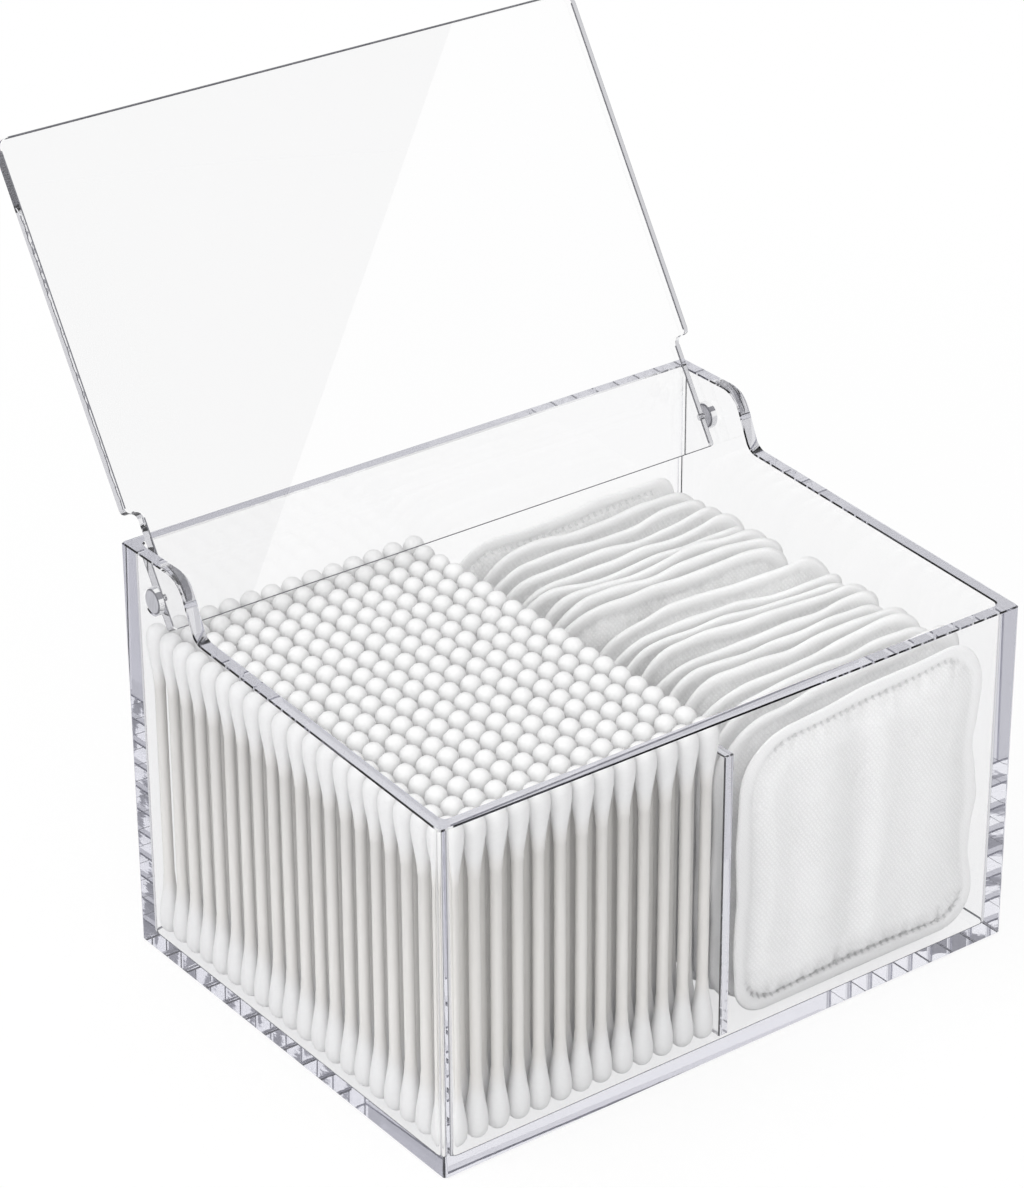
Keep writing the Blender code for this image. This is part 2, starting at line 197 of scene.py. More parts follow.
# The rows show in light that was mirrored many times and comes from above, from the right of the front or the left of
# the back.
crossed = math_of(tree, "LESS_THAN", product_of(tree, split[0], split[1]), 0.0)
mirrored = math_of(tree, "GREATER_THAN", path["Glossy Depth"], MIRRORED_ONCE)
few = math_of(tree, "LESS_THAN", path["Glossy Depth"], MIRRORED_TWICE)
many = math_of(tree, "GREATER_THAN", path["Glossy Depth"], MIRRORED_MORE)
straight = math_of(tree, "MAXIMUM", path["Is Camera Ray"], path["Is Transmission Ray"])
along = math_of(tree, "ADD", mix_of(tree, to_right, split[2], split[0]), ROW_START)
rows = add_node(tree, "ShaderNodeTexNoise", {"noise_dimensions": "1D"}, {
    "W": along, "Scale": 1 / ROW_SPACING, "Detail": 0.0}).outputs[0]
rows = ramp_of(tree, rows, *ROW_EDGE, ROW_GREY, 1.0)
studio = mix_of(tree, product_of(tree, overhead, many, crossed), tones[()], rows)
studio = mix_of(tree, product_of(tree, short_of(SCREEN_BORDER), to_right, overhead), studio, SCREEN_GREY)
studio = mix_of(tree, product_of(tree, short_of(CARD_BORDER), in_front, lifted, few), studio, CARD_GREY)
level = mix_of(tree, mirrored, mix_of(tree, straight, ROOM_LIGHT, 1.0), studio)
hue = tint_of(tree, mirrored, "#FFFFFF", tint_of(tree, studio, "#E9E9F6", "#FFFFFF"))
sky = add_node(tree, "ShaderNodeBackground", None, {"Color": hue, "Strength": level}).outputs[0]
add_node(tree, "ShaderNodeOutputWorld", None, {"Surface": sky})

LAMPS_AIM = Vector((0, 0, 0.04))
for name, spot, size, power in (
    ("lamp_above", (-0.25, 0.00, 1.10), 0.9, 4.4),
    ("lamp_left", (-1.05, -0.10, 0.55), 0.8, 3.4),
    ("lamp_front", (-0.60, -1.00, 0.50), 0.7, 3.9),
):
    lamp = bpy.data.lights.new(name, "AREA")
    lamp.shape, lamp.size, lamp.energy = "SQUARE", size, power
    lamp_object = bpy.data.objects.new(name, lamp)
    lamp_object.location = spot
    lamp_object.rotation_euler = (LAMPS_AIM - Vector(spot)).to_track_quat("-Z", "Y").to_euler()
    for rays in ("camera", "glossy", "transmission"):
        setattr(lamp_object, "visible_" + rays, False)
    bpy.context.scene.collection.objects.link(lamp_object)

CAMERA_SPOT = Vector((-0.44391, -0.57212, 0.46394))
CAMERA_WAY = Vector((0.53023, 0.70753, -0.46717)).normalized()
CAMERA_ROLL = math.radians(-0.295)
camera = bpy.data.cameras.new("camera")
camera.lens = 123.19
camera.sensor_width = 36
camera_object = bpy.data.objects.new("camera", camera)
bpy.context.scene.collection.objects.link(camera_object)
side = CAMERA_WAY.cross(Vector((0, 0, 1))).normalized()
above = side.cross(CAMERA_WAY)
level_side = side * math.cos(CAMERA_ROLL) + above * math.sin(CAMERA_ROLL)
level_above = above * math.cos(CAMERA_ROLL) - side * math.sin(CAMERA_ROLL)
turn = Matrix((level_side, level_above, -CAMERA_WAY)).transposed()
camera_object.matrix_world = Matrix.Translation(CAMERA_SPOT) @ turn.to_4x4()
bpy.context.scene.camera = camera_object
bpy.context.scene.view_settings.view_transform = "Standard"
# Light that is caught inside an acrylic wall turns back many times before it leaves, so the rims need long paths.
cycles = bpy.context.scene.cycles
cycles.max_bounces = cycles.glossy_bounces = cycles.transmission_bounces = 40
cycles.transparent_max_bounces = 16


# Tray. One clear acrylic moulding, open on top: four walls and a floor 3 mm thick. Its side rims climb gently to a tall
# ear at the back of each side, whose front is an S-curve. The rims are polished to a fine chamfer. Fine matt grey lines
# are painted on the foot's corner and on the joint of floor and walls, as painted shade where the clear edges show
# dark.
WALL = 3 * MM
RIM_RISE = math.radians(2.9)
FRONT_HEIGHT = 78 * MM
EAR_TOP_LENGTH = 17 * MM
SHOULDER_RADIUS = 6.3 * MM
VALLEY_RADIUS = 3.4 * MM
EAR_LEAN = math.radians(25)
OUTER_CORNER = 0.8 * MM
INNER_CORNER = 1.6 * MM
FLOOR_FILLET = 0.28 * MM
POLISHED_EDGE = 0.28 * MM
PIN_HOLE = 3.0 * MM                    # radius
CORNER_STEPS = 8
CURVE_STEPS = 18
ROUND_SIDES = 48
DRILL_PAST = 2 * MM                    # how far a drill reaches past the face it leaves by
SHEET_SWAY = (0.0006 * MM, 5 * MM)     # height and length of the swells in a sheet's faces
ACRYLIC_IOR = 1.49
FLAT = 0.99                            # a face counts as level from this upward part of its normal on
HAIR = 1e-6                            # keeps a face's middle apart from a height that it only touches

low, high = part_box("tray")
half_width, half_depth, ear_height = high[0], high[1], high[2]
pin_low, pin_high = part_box("hinge_pin_left")
pin_y, pin_z = (pin_low[1] + pin_high[1]) / 2, (pin_low[2] + pin_high[2]) / 2


def place_of(tree, stretch):
    """Object coordinates times a factor along each axis: a small factor draws a grain out along its axis."""
    place = add_node(tree, "ShaderNodeTexCoord").outputs["Object"]
    return add_node(tree, "ShaderNodeMapping", None, {"Vector": place, "Scale": stretch}).outputs[0]


def noise_of(tree, place, grain, detail, roughness=0.5, distortion=0.0):
    """Noise with lumps about as long as its grain."""
    return add_node(tree, "ShaderNodeTexNoise", None, {
        "Vector": place, "Scale": 1 / grain, "Detail": detail, "Roughness": roughness,
        "Distortion": distortion}).outputs[0]


def clear_acrylic(name, sway, sway_size, only_edges=False, density=4.0):
    """Cast acrylic, polished: clear and nearly colourless, with a mirror gloss.

    Light that runs inside a wall goes a long way through it, so the rims and corners look a soft lavender grey while
    the faces stay clear. Sway is the slight unevenness of the faces, which runs level in the walls and upright in the
    floor's edges, and shows only in the rims and corners. Lamps reach the cotton through the walls.
    """
    material, tree = empty_material(name)
    place = add_node(tree, "ShaderNodeTexCoord").outputs["Object"]
    height = add_node(tree, "ShaderNodeSeparateXYZ", None, {0: place}).outputs[2]
    above_floor = add_node(tree, "ShaderNodeMapRange", None, {
        "Value": height, "From Min": WALL, "From Max": 1.3 * WALL}).outputs[0]
    in_floor, in_walls = [
        noise_of(tree, place_of(tree, stretch), sway_size, 2.0) for stretch in ((1, 1, 0.1), (0.1, 0.1, 1))]
    swell = mix_of(tree, above_floor, in_floor, in_walls)
    if only_edges:
        cut_edge = add_node(tree, "ShaderNodeAttribute", {"attribute_name": "cut_edge"})
        swell = product_of(tree, swell, cut_edge.outputs["Fac"])
    bump = add_node(tree, "ShaderNodeBump", None, {"Strength": 1.0, "Distance": sway, "Height": swell})
    glass = add_node(tree, "ShaderNodeBsdfPrincipled", None, {
        "Base Color": linear_colour("#FFFFFF"), "Roughness": 0.0, "IOR": ACRYLIC_IOR, "Transmission Weight": 1.0,
        "Normal": bump.outputs[0]}).outputs[0]
    path = add_node(tree, "ShaderNodeLightPath").outputs
    lamp_rays = math_of(tree, "MAXIMUM", path["Is Shadow Ray"], path["Is Diffuse Ray"])
    through = add_node(tree, "ShaderNodeBsdfTransparent", None, {"Color": linear_colour("#F9F9F9")}).outputs[0]
    inside = add_node(tree, "ShaderNodeVolumeAbsorption", None, {
        "Color": linear_colour("#D8D8E8"), "Density": density}).outputs[0]
    add_node(tree, "ShaderNodeOutputMaterial", None, {
        "Surface": shader_of(tree, lamp_rays, glass, through), "Volume": inside})
    return material


def arc(centre, radius, start, end, steps):
    """Points of an arc, ends included, from one angle to another in degrees."""
    return [(centre[0] + radius * math.cos(math.radians(start + (end - start) * step / steps)),
             centre[1] + radius * math.sin(math.radians(start + (end - start) * step / steps)))
            for step in range(steps + 1)]


def rim_height(y):
    """Height of the side rims in front of the ears."""
    return FRONT_HEIGHT + math.tan(RIM_RISE) * (y + half_depth)


def ear_profile(steps):
    """The S-curve from the side rim up to the ear's level top, front first, as (y, z)."""
    lean, rise = math.degrees(EAR_LEAN), math.degrees(RIM_RISE)
    shoulder = (half_depth - EAR_TOP_LENGTH, ear_height - SHOULDER_RADIUS)
    both = SHOULDER_RADIUS + VALLEY_RADIUS
    start = (shoulder[0] - both * math.cos(EAR_LEAN), shoulder[1] + both * math.sin(EAR_LEAN))
    excess = start[1] - rim_height(start[0]) - VALLEY_RADIUS / math.cos(RIM_RISE)
    travel = excess / (math.cos(EAR_LEAN) - math.tan(RIM_RISE) * math.sin(EAR_LEAN))
    valley = (start[0] - travel * math.sin(EAR_LEAN), start[1] - travel * math.cos(EAR_LEAN))
    curve = arc(shoulder, SHOULDER_RADIUS, 90, 180 - lean, steps)
    curve += arc(valley, VALLEY_RADIUS, -lean, -90 + rise, steps)
    return curve[::-1]


def rim_line(corner):
    """Points of the rim seen from the side, between the rounded corners, with the upward normal at each."""
    points = ear_profile(CURVE_STEPS)
    low_end = (-half_depth + corner, rim_height(-half_depth + corner))
    points = [low_end] + points + [(half_depth - corner, ear_height)]
    normals = []
    for index in range(len(points)):
        before, after = points[max(index - 1, 0)], points[min(index + 1, len(points) - 1)]
        way = Vector((after[0] - before[0], after[1] - before[1])).normalized()
        normals.append((-way.y, way.x))
    normals[0] = (-math.sin(RIM_RISE), math.cos(RIM_RISE))
    normals[-1] = (0.0, 1.0)
    return points, normals


def tray_loop(inset, corner_radius, level=None, sink=0.0):
    """One loop round the tray, from the front left corner anticlockwise. With no level it follows the rim."""
    points, normals = rim_line(WALL + INNER_CORNER)
    right, back = half_width - inset, half_depth - inset
    loop = []

    def put(x, y, height, normal):
        if level is None:
            loop.append((x, y - sink * normal[0], height - sink * normal[1]))
        else:
            loop.append((x, y, level))

    slope, across, along = (-math.sin(RIM_RISE), math.cos(RIM_RISE)), right - corner_radius, back - corner_radius
    for centre, start in (((-across, -along), 180), ((across, -along), -90)):
        for x, y in arc(centre, corner_radius, start, start + 90, CORNER_STEPS):
            put(x, y, rim_height(y), slope)
    for (y, z), normal in zip(points, normals):
        put(right, y, z, normal)
    for centre, start in (((across, along), 0), ((-across, along), 90)):
        for x, y in arc(centre, corner_radius, start, start + 90, CORNER_STEPS):
            put(x, y, ear_height, (0.0, 1.0))
    for (y, z), normal in zip(points[::-1], normals[::-1]):
        put(-right, y, z, normal)
    return loop


def stack_of_loops(name, loops, material):
    """A closed skin through loops of the same length, with a flat face on the first and the last."""
    count = len(loops[0])
    vertices = [point for loop in loops for point in loop]
    faces = [tuple(range(count))[::-1]]
    for level in range(len(loops) - 1):
        first, second = level * count, (level + 1) * count
        for step in range(count):
            following = (step + 1) % count
            faces.append((first + step, first + following, second + following, second + step))
    faces.append(tuple(range((len(loops) - 1) * count, len(loops) * count)))
    return object_from(name, vertices, faces, material)


def turned_about(name, axis_point, stations, sides, material=None):
    """A turned piece whose axis runs along X, from (x, radius) stations."""
    loops = [[(x, axis_point[0] + radius * math.cos(math.tau * k / sides),
               axis_point[1] + radius * math.sin(math.tau * k / sides)) for k in range(sides)]
             for x, radius in stations]
    item = stack_of_loops(name, loops, material)
    outwards(item)
    return item


def outwards(item):
    """Merge doubles and turn the faces outwards."""
    shape = bmesh.new()
    shape.from_mesh(item.data)
    bmesh.ops.remove_doubles(shape, verts=shape.verts, dist=1e-7)
    bmesh.ops.recalc_face_normals(shape, faces=shape.faces)
    shape.to_mesh(item.data)
    shape.free()


def drill(item, cutters):
    """Cut round holes through a piece, and drop the cutters."""
    for cutter in cutters:
        hole = item.modifiers.new(cutter.name, "BOOLEAN")
        hole.operation, hole.object, hole.solver = "DIFFERENCE", cutter, "EXACT"
    settle(item)
    for cutter in cutters:
        bpy.data.objects.remove(cutter, do_unlink=True)


def settle(item):
    """Turn a piece and its modifiers into one plain mesh."""
    bpy.context.view_layer.update()
    evaluated = item.evaluated_get(bpy.context.evaluated_depsgraph_get())
    mesh = bpy.data.meshes.new_from_object(evaluated)
    item.modifiers.clear()
    item.data = mesh


def polish_faces(item, sharp=22):
    """Smooth the curves and keep the flats flat."""
    item.data.shade_smooth()
    item.data.set_sharp_from_angle(angle=math.radians(sharp))
    weigh = item.modifiers.new("flat_faces", "WEIGHTED_NORMAL")
    weigh.mode, weigh.weight, weigh.keep_sharp = "FACE_AREA", 100, True
    settle(item)


def end_material(tree, colour, height, strength, depth, look):
    """A bumped surface and the material's output. Look holds the surface's other inputs."""
    bump = add_node(tree, "ShaderNodeBump", None, {"Strength": strength, "Distance": depth, "Height": height})
    surface = add_node(tree, "ShaderNodeBsdfPrincipled", None, {
        "Base Color": colour, "Normal": bump.outputs[0], **look})
    add_node(tree, "ShaderNodeOutputMaterial", None, {"Surface": surface.outputs[0]})


def grained_material(name, tones, stretch, grain, detail, bump, look):
    """A material in two close tones with a bump as fine as its grain. Bump is strength and depth."""
    material, tree = empty_material(name)
    noise = noise_of(tree, place_of(tree, stretch), grain, detail, 0.6)
    end_material(tree, tint_of(tree, noise, *tones), noise, *bump, look)
    return material


def shade_line_acrylic(name, dark, pale):
    """A painted shade line on a corner or joint of acrylic: fine, matt and too rough to see through.

    It is painted dark against the clear sheet, in place of the shade that the clear edge shows there, and draws the
    outline of the lid and of the floor.
    """
    return grained_material(
        name, (dark, pale), (1, 1, 1), 0.8 * MM, 3.0, (0.3, 0.03 * MM), {"Roughness": 0.4, "IOR": ACRYLIC_IOR})


def mark_faces(item, slot, chosen):
    """Give the chosen faces of a piece one of its materials, by number."""
    for face in item.data.polygons:
        if chosen(face):
            face.material_index = slot


tray_acrylic = clear_acrylic("cast_acrylic_tray", *SHEET_SWAY)
fillet = [(WALL + FLOOR_FILLET * (1 - math.cos(math.radians(angle))),
           WALL + FLOOR_FILLET * (1 - math.sin(math.radians(angle)))) for angle in (0, 22.5, 45, 67.5, 90)]
loops = [
    tray_loop(POLISHED_EDGE, OUTER_CORNER, level=0.0),
    tray_loop(0.0, OUTER_CORNER, level=POLISHED_EDGE),
    tray_loop(0.0, OUTER_CORNER, sink=POLISHED_EDGE),
    tray_loop(POLISHED_EDGE, OUTER_CORNER),
    tray_loop(WALL - POLISHED_EDGE, INNER_CORNER),
    tray_loop(WALL, INNER_CORNER, sink=POLISHED_EDGE),
]
loops += [tray_loop(inset, INNER_CORNER, level=level) for inset, level in fillet]
tray = stack_of_loops("clear_tray", loops, tray_acrylic)
outwards(tray)
reach = half_width + DRILL_PAST
drill(tray, [turned_about("pin_hole_drill", (pin_y, pin_z), [(-reach, PIN_HOLE), (reach, PIN_HOLE)], ROUND_SIDES)])
# Painted shade: dark greys on the joint of floor and walls, and paler greys on the foot's corner, drawn as fine lines.
corner_shade_line = shade_line_acrylic("painted_shade_acrylic_corner", "#55555A", "#7C7C82")
foot_shade_line = shade_line_acrylic("painted_shade_acrylic_foot", "#8C8C94", "#B0B0B8")
for slot, (material, foot, head) in enumerate((
    (corner_shade_line, WALL + HAIR, WALL + FLOOR_FILLET), (foot_shade_line, HAIR, POLISHED_EDGE)), 1):
    tray.data.materials.append(material)
    mark_faces(tray, slot, lambda face: abs(face.normal.z) < FLAT and foot < face.center.z < head)
polish_faces(tray)
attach(tray, "tray_body")
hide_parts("tray")


# Divider. A plain acrylic sheet cemented between the front and back walls and to the floor, lower than the rims. Its
# front edge shows through the front wall as a bright upright band between two thin dark lines.
DIVIDER_EDGE = 0.25 * MM
CEMENT = 0.05 * MM

divider_acrylic = clear_acrylic("cast_acrylic_divider", *SHEET_SWAY)
low, high = (Vector(corner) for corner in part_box("divider"))
low += Vector((0, CEMENT, CEMENT))
high -= Vector((0, CEMENT, 0))
shape = bmesh.new()
bmesh.ops.create_cube(shape, size=1.0, matrix=Matrix.LocRotScale((low + high) / 2, None, high - low))
bmesh.ops.bevel(shape, geom=shape.edges, offset=DIVIDER_EDGE, segments=1, affect="EDGES")
divider = object_from("clear_divider", [], [], divider_acrylic)
shape.to_mesh(divider.data)
shape.free()
outwards(divider)
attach(divider, "tray_body")
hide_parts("divider")


# Hinge pins. Two short round studs of the same acrylic, pushed into the ears, each with a thin tip that the lid turns
# on. The ends that face left are sawn and left satin, so they show as small grey discs. The other ends are polished.
PIN_RADIUS = 2.7 * MM
PIN_TIP = 0.55 * MM
PIN_TIP_LENGTH = 1.7 * MM
PIN_TIP_CHAMFER = 0.2 * MM
PIN_CHAMFER = 0.3 * MM
PIN_SWAY = (0.01 * MM, 3 * MM)

pin_acrylic = clear_acrylic("turned_acrylic_pin", *PIN_SWAY)
# Sawn acrylic scatters light: a soft grey, with fine upright saw lines and hardly any gloss.
pin_sawn = grained_material(
    "sawn_acrylic_pin_end", ("#8E8E94", "#C0C0C6"), (1, 1, 0.15), 0.5 * MM, 2.0, (0.3, 0.05 * MM),
    {"Roughness": 0.55, "IOR": ACRYLIC_IOR})
inner_face = half_width - WALL
tip_end = inner_face - PIN_TIP_LENGTH
stations = [
    (tip_end, PIN_TIP - PIN_TIP_CHAMFER), (tip_end + PIN_TIP_CHAMFER, PIN_TIP), (inner_face, PIN_TIP),
    (inner_face, PIN_RADIUS - PIN_CHAMFER), (inner_face + PIN_CHAMFER, PIN_RADIUS),
    (half_width - PIN_CHAMFER, PIN_RADIUS), (half_width, PIN_RADIUS - PIN_CHAMFER)]
for name, way in (("left", -1), ("right", 1)):
    pin = turned_about(
        "clear_pin_" + name, (pin_y, pin_z), [(way * x, r) for x, r in stations], ROUND_SIDES, pin_acrylic)
    pin.data.materials.append(pin_sawn)
    # The chamfer round each end that faces left gets the painted shade line, which shows as a dark ring.
    pin.data.materials.append(corner_shade_line)
    mark_faces(pin, 2, lambda face: abs(face.center.x) > inner_face - HAIR and -0.9 <= face.normal.x < -0.3)
    mark_faces(pin, 1, lambda face: abs(face.center.x) > inner_face - HAIR and face.normal.x < -0.9)
    polish_faces(pin)
    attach(pin, "tray_body")
    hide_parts("hinge_pin_" + name)


# Lid. A flat acrylic plate 3 mm thick with fine chamfered corners, painted along their straight runs as a dark line of
# painted shade, cut narrower at the back so that its tail turns between the ears. It leans open on the back wall's
# inner edge, and hangs on the two pins by bores in the tail's edges.
LID_THICKNESS = 3 * MM
LID_EDGE = 0.2 * MM
LID_INSET = 0.4 * MM
LID_FRONT_CORNER = 2.5 * MM
LID_REAR_CORNER = 1.2 * MM
TAIL_CORNER = 0.8 * MM
NOTCH_FILLET = 1.6 * MM
NOTCH_GAP = 0.4 * MM
LID_SIDE_GAP = 0.8 * MM
TAIL_BACK_GAP = 1.1 * MM
BORE_RADIUS = 0.7 * MM
BORE_DEPTH = 1.1 * MM
SEAT_GAP = 0.3 * MM
LID_FRONT_STEPS = 10
LID_SWAY = (0.02 * MM, 5 * MM)         # in its cut edges only

tail_half = half_width - WALL - LID_SIDE_GAP
behind = half_depth - pin_y - WALL
wall_above = ear_height - pin_z
open_angle = math.pi - math.asin((LID_THICKNESS / 2 + SEAT_GAP) / math.hypot(behind, wall_above))
open_angle -= math.atan2(wall_above, behind)


def lid_loop(inset, z):
    """Outline of the lid lying flat, with the pin axis at y = 0, moved in by inset."""
    foot_y = ear_profile(CURVE_STEPS)[0][0]
    shoulder_y = -(pin_y - foot_y) / math.cos(RIM_RISE) - NOTCH_GAP - inset
    front_y = -(pin_y + half_depth) / math.cos(RIM_RISE) + LID_INSET + inset
    tail_y = behind - TAIL_BACK_GAP - inset
    wide, tail = half_width - LID_INSET - inset, tail_half - inset
    front, rear, end, notch = (LID_FRONT_CORNER - inset, LID_REAR_CORNER - inset, TAIL_CORNER - inset,
                               NOTCH_FILLET + inset)
    right = arc((wide - front, front_y + front), front, -90, 0, LID_FRONT_STEPS)
    right += arc((wide - rear, shoulder_y - rear), rear, 0, 90, CORNER_STEPS)
    right += arc((tail + notch, shoulder_y + notch), notch, 270, 180, CORNER_STEPS)
    right += arc((tail - end, tail_y - end), end, 0, 90, CORNER_STEPS)
    return [(x, y, z) for x, y in right + [(-x, y) for x, y in reversed(right)]]


lid_acrylic = clear_acrylic("cast_acrylic_lid", *LID_SWAY, only_edges=True, density=1.0)
half = LID_THICKNESS / 2
lid = stack_of_loops("clear_lid", [lid_loop(inset, z) for inset, z in (
    (LID_EDGE, -half), (0.0, -half + LID_EDGE), (0.0, half - LID_EDGE), (LID_EDGE, half))], lid_acrylic)
outwards(lid)
drill(lid, [turned_about("bore_drill", (0, 0), [
    (way * (tail_half - BORE_DEPTH), BORE_RADIUS), (way * (tail_half + DRILL_PAST), BORE_RADIUS)], ROUND_SIDES // 2)
    for way in (-1, 1)])
cut_edge = lid.data.attributes.new("cut_edge", "FLOAT", "FACE")
cut_edge.data.foreach_set("value", [float(abs(face.normal.z) < 0.9) for face in lid.data.polygons])
lid.data.materials.append(corner_shade_line)
# A corner's faces lean by 45 degrees. The painted shade line runs along the straight corners and stops where they turn.
mark_faces(lid, 1, lambda face: 0.5 < abs(face.normal.z) < 0.9 and abs(face.normal.x * face.normal.y) < 0.02)
lid.data.transform(Matrix.Translation((0, pin_y, pin_z)) @ Matrix.Rotation(-open_angle, 4, "X"))
polish_faces(lid)
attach(lid, "lid_body")
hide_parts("lid")


# Cotton swabs. Twenty in each of thirteen straight rows, upright. Each is a rolled paper stick with cotton wound on
# both ends into a smooth teardrop. They stand on the floor of the tray and lean on one another by a hair.
SWAB_LENGTH = 73 * MM
SWAB_REST = 3.3 * MM                   # height of the swabs' feet
SWABS_IN_ROW = 20
SWAB_ROWS = 13
SWAB_SIDES, FINE_SWAB_SIDES = 10, 16
SWAB_PLAY = (0.10 * MM, 0.08 * MM, 0.0)
SWAB_LEAN = math.radians(0.10)
WOUND_FROM = (22.5 * MM, 28 * MM)      # where the cotton starts and covers the stick, from a swab's middle
BUD_SHAPE = (                          # distance from the tip and radius, in mm
    (0.0, 0.0), (0.35, 1.22), (1.35, 2.12), (3.2, 2.42), (6.4, 2.14), (10.0, 1.58), (13.6, 1.24))
FINE_BUD_SHAPE = (
    (0.0, 0.0), (0.12, 0.72), (0.45, 1.36), (1.05, 1.92), (1.95, 2.30), (3.2, 2.42), (4.8, 2.36), (6.6, 2.12),
    (8.6, 1.80), (10.6, 1.50), (12.4, 1.31), (13.9, 1.25), (14.0, 1.16))


def swab_shape(name, shape, sides):
    """One swab standing at the origin, with its stick's faces marked."""
    profile = [(at * MM, radius * MM) for at, radius in shape]
    profile += [(SWAB_LENGTH - at, radius) for at, radius in profile[::-1]]
    vertices, rings = [], []
    for z, radius in profile:
        if radius == 0:
            rings.append([len(vertices)])
            vertices.append((0, 0, z))
        else:
            rings.append(list(range(len(vertices), len(vertices) + sides)))
            vertices += [(radius * math.cos(math.tau * k / sides), radius * math.sin(math.tau * k / sides), z)
                         for k in range(sides)]
    faces, on_stick = [], []
    for level, (lower, upper) in enumerate(zip(rings, rings[1:])):
        for k in range(sides):
            corners = [lower[k % len(lower)], lower[(k + 1) % len(lower)],
                       upper[(k + 1) % len(upper)], upper[k % len(upper)]]
            faces.append(list(dict.fromkeys(corners)))
            on_stick.append(level == len(rings) // 2 - 1)
    item = object_from(name, vertices, faces)
    mark = item.data.attributes.new("stick", "BOOLEAN", "FACE")
    mark.data.foreach_set("value", on_stick)
    item.data.shade_smooth()
    return item


def cotton_wound():
    """Cotton wool wound tight and pressed smooth: matt, soft white, with faint wisps round the bud."""
    material, tree = empty_material("wound_cotton_wool")
    wisps = noise_of(tree, place_of(tree, (1, 1, 2.2)), 1.1 * MM, 4.0, 0.65, 0.6)
    place = add_node(tree, "ShaderNodeTexCoord").outputs["Object"]
    height = add_node(tree, "ShaderNodeSeparateXYZ", None, {0: place}).outputs[2]
    off = math_of(tree, "SUBTRACT", height, SWAB_REST + SWAB_LENGTH / 2)
    wound = ramp_of(tree, math_of(tree, "ABSOLUTE", off), *WOUND_FROM)
    tone = tint_of(tree, wound, "#DDDBD8", tint_of(tree, wisps, "#DEDEDE", "#E9E9E9"))
    end_material(tree, tone, wisps, 0.5, 0.10 * MM, {
        "Roughness": 0.92, "Sheen Weight": 0.15, "Sheen Roughness": 0.6, "Specular IOR Level": 0.25})
    return material


def swab_row_tree():
    """Geometry nodes for one row: points in a line, a little play in each, and a swab on every point."""
    tree = bpy.data.node_groups.new("row_of_swabs", "GeometryNodeTree")
    sockets = {}
    for name, kind in (
        ("Count", "Int"), ("First", "Vector"), ("Pitch", "Float"), ("Play", "Vector"), ("Lean", "Float"),
        ("Seed", "Int"), ("Seen From Side", "Bool"), ("Swab", "Object"), ("Fine Swab", "Object"),
        ("Cotton", "Material"), ("Paper", "Material"),
    ):
        sockets[name] = tree.interface.new_socket(name, in_out="INPUT", socket_type="NodeSocket" + kind).identifier
    tree.interface.new_socket("Geometry", in_out="OUTPUT", socket_type="NodeSocketGeometry")
    given = add_node(tree, "NodeGroupInput").outputs
    pitch = add_node(tree, "ShaderNodeCombineXYZ", None, {"Y": given["Pitch"]})
    line = add_node(tree, "GeometryNodeMeshLine", {"mode": "OFFSET"}, {
        "Count": given["Count"], "Start Location": given["First"], "Offset": pitch.outputs[0]})

    def random_vector(least, most, seed):
        """A vector drawn for every point between two others."""
        return add_node(tree, "FunctionNodeRandomValue", {"data_type": "FLOAT_VECTOR"}, {
            0: least, 1: most, "Seed": seed}).outputs[0]

    least = add_node(tree, "ShaderNodeVectorMath", {"operation": "SCALE"}, {0: given["Play"], "Scale": -1.0})
    shift = random_vector(least.outputs[0], given["Play"], given["Seed"])
    placed = add_node(tree, "GeometryNodeSetPosition", None, {"Geometry": line.outputs[0], "Offset": shift})
    back = product_of(tree, given["Lean"], -1.0)
    turns = [add_node(tree, "ShaderNodeCombineXYZ", None, {0: lean, 1: lean, 2: round_about}).outputs[0]
             for lean, round_about in ((back, 0.0), (given["Lean"], math.tau))]
    turning = random_vector(*turns, math_of(tree, "ADD", given["Seed"], 100.0))
    index = add_node(tree, "GeometryNodeInputIndex").outputs[0]
    shown = given["Seen From Side"]
    for end in (0, math_of(tree, "SUBTRACT", given["Count"], 1.0)):
        at_end = add_node(tree, "FunctionNodeCompare", {"data_type": "INT", "operation": "EQUAL"}, {2: index, 3: end})
        shown = add_node(tree, "FunctionNodeBooleanMath", {"operation": "OR"}, {
            0: at_end.outputs[0], 1: shown}).outputs[0]
    hidden = add_node(tree, "FunctionNodeBooleanMath", {"operation": "NOT"}, {0: shown}).outputs[0]
    whole = add_node(tree, "GeometryNodeJoinGeometry")
    for name, chosen in (("Swab", hidden), ("Fine Swab", shown)):
        source = add_node(tree, "GeometryNodeObjectInfo", None, {"Object": given[name]})
        copies = add_node(tree, "GeometryNodeInstanceOnPoints", None, {
            "Points": placed.outputs[0], "Selection": chosen,
            "Instance": source.outputs["Geometry"], "Rotation": turning})
        tree.links.new(copies.outputs[0], whole.inputs[0])
    real = add_node(tree, "GeometryNodeRealizeInstances", None, {"Geometry": whole.outputs[0]})
    cotton = add_node(tree, "GeometryNodeSetMaterial", None, {"Geometry": real.outputs[0], "Material": given["Cotton"]})
    stick = add_node(tree, "GeometryNodeInputNamedAttribute", {"data_type": "BOOLEAN"}, {"Name": "stick"})
    paper = add_node(tree, "GeometryNodeSetMaterial", None, {
        "Geometry": cotton.outputs[0], "Selection": stick.outputs[0], "Material": given["Paper"]})
    add_node(tree, "NodeGroupOutput", None, {"Geometry": paper.outputs[0]})
    return tree, sockets


swab_cotton = cotton_wound()
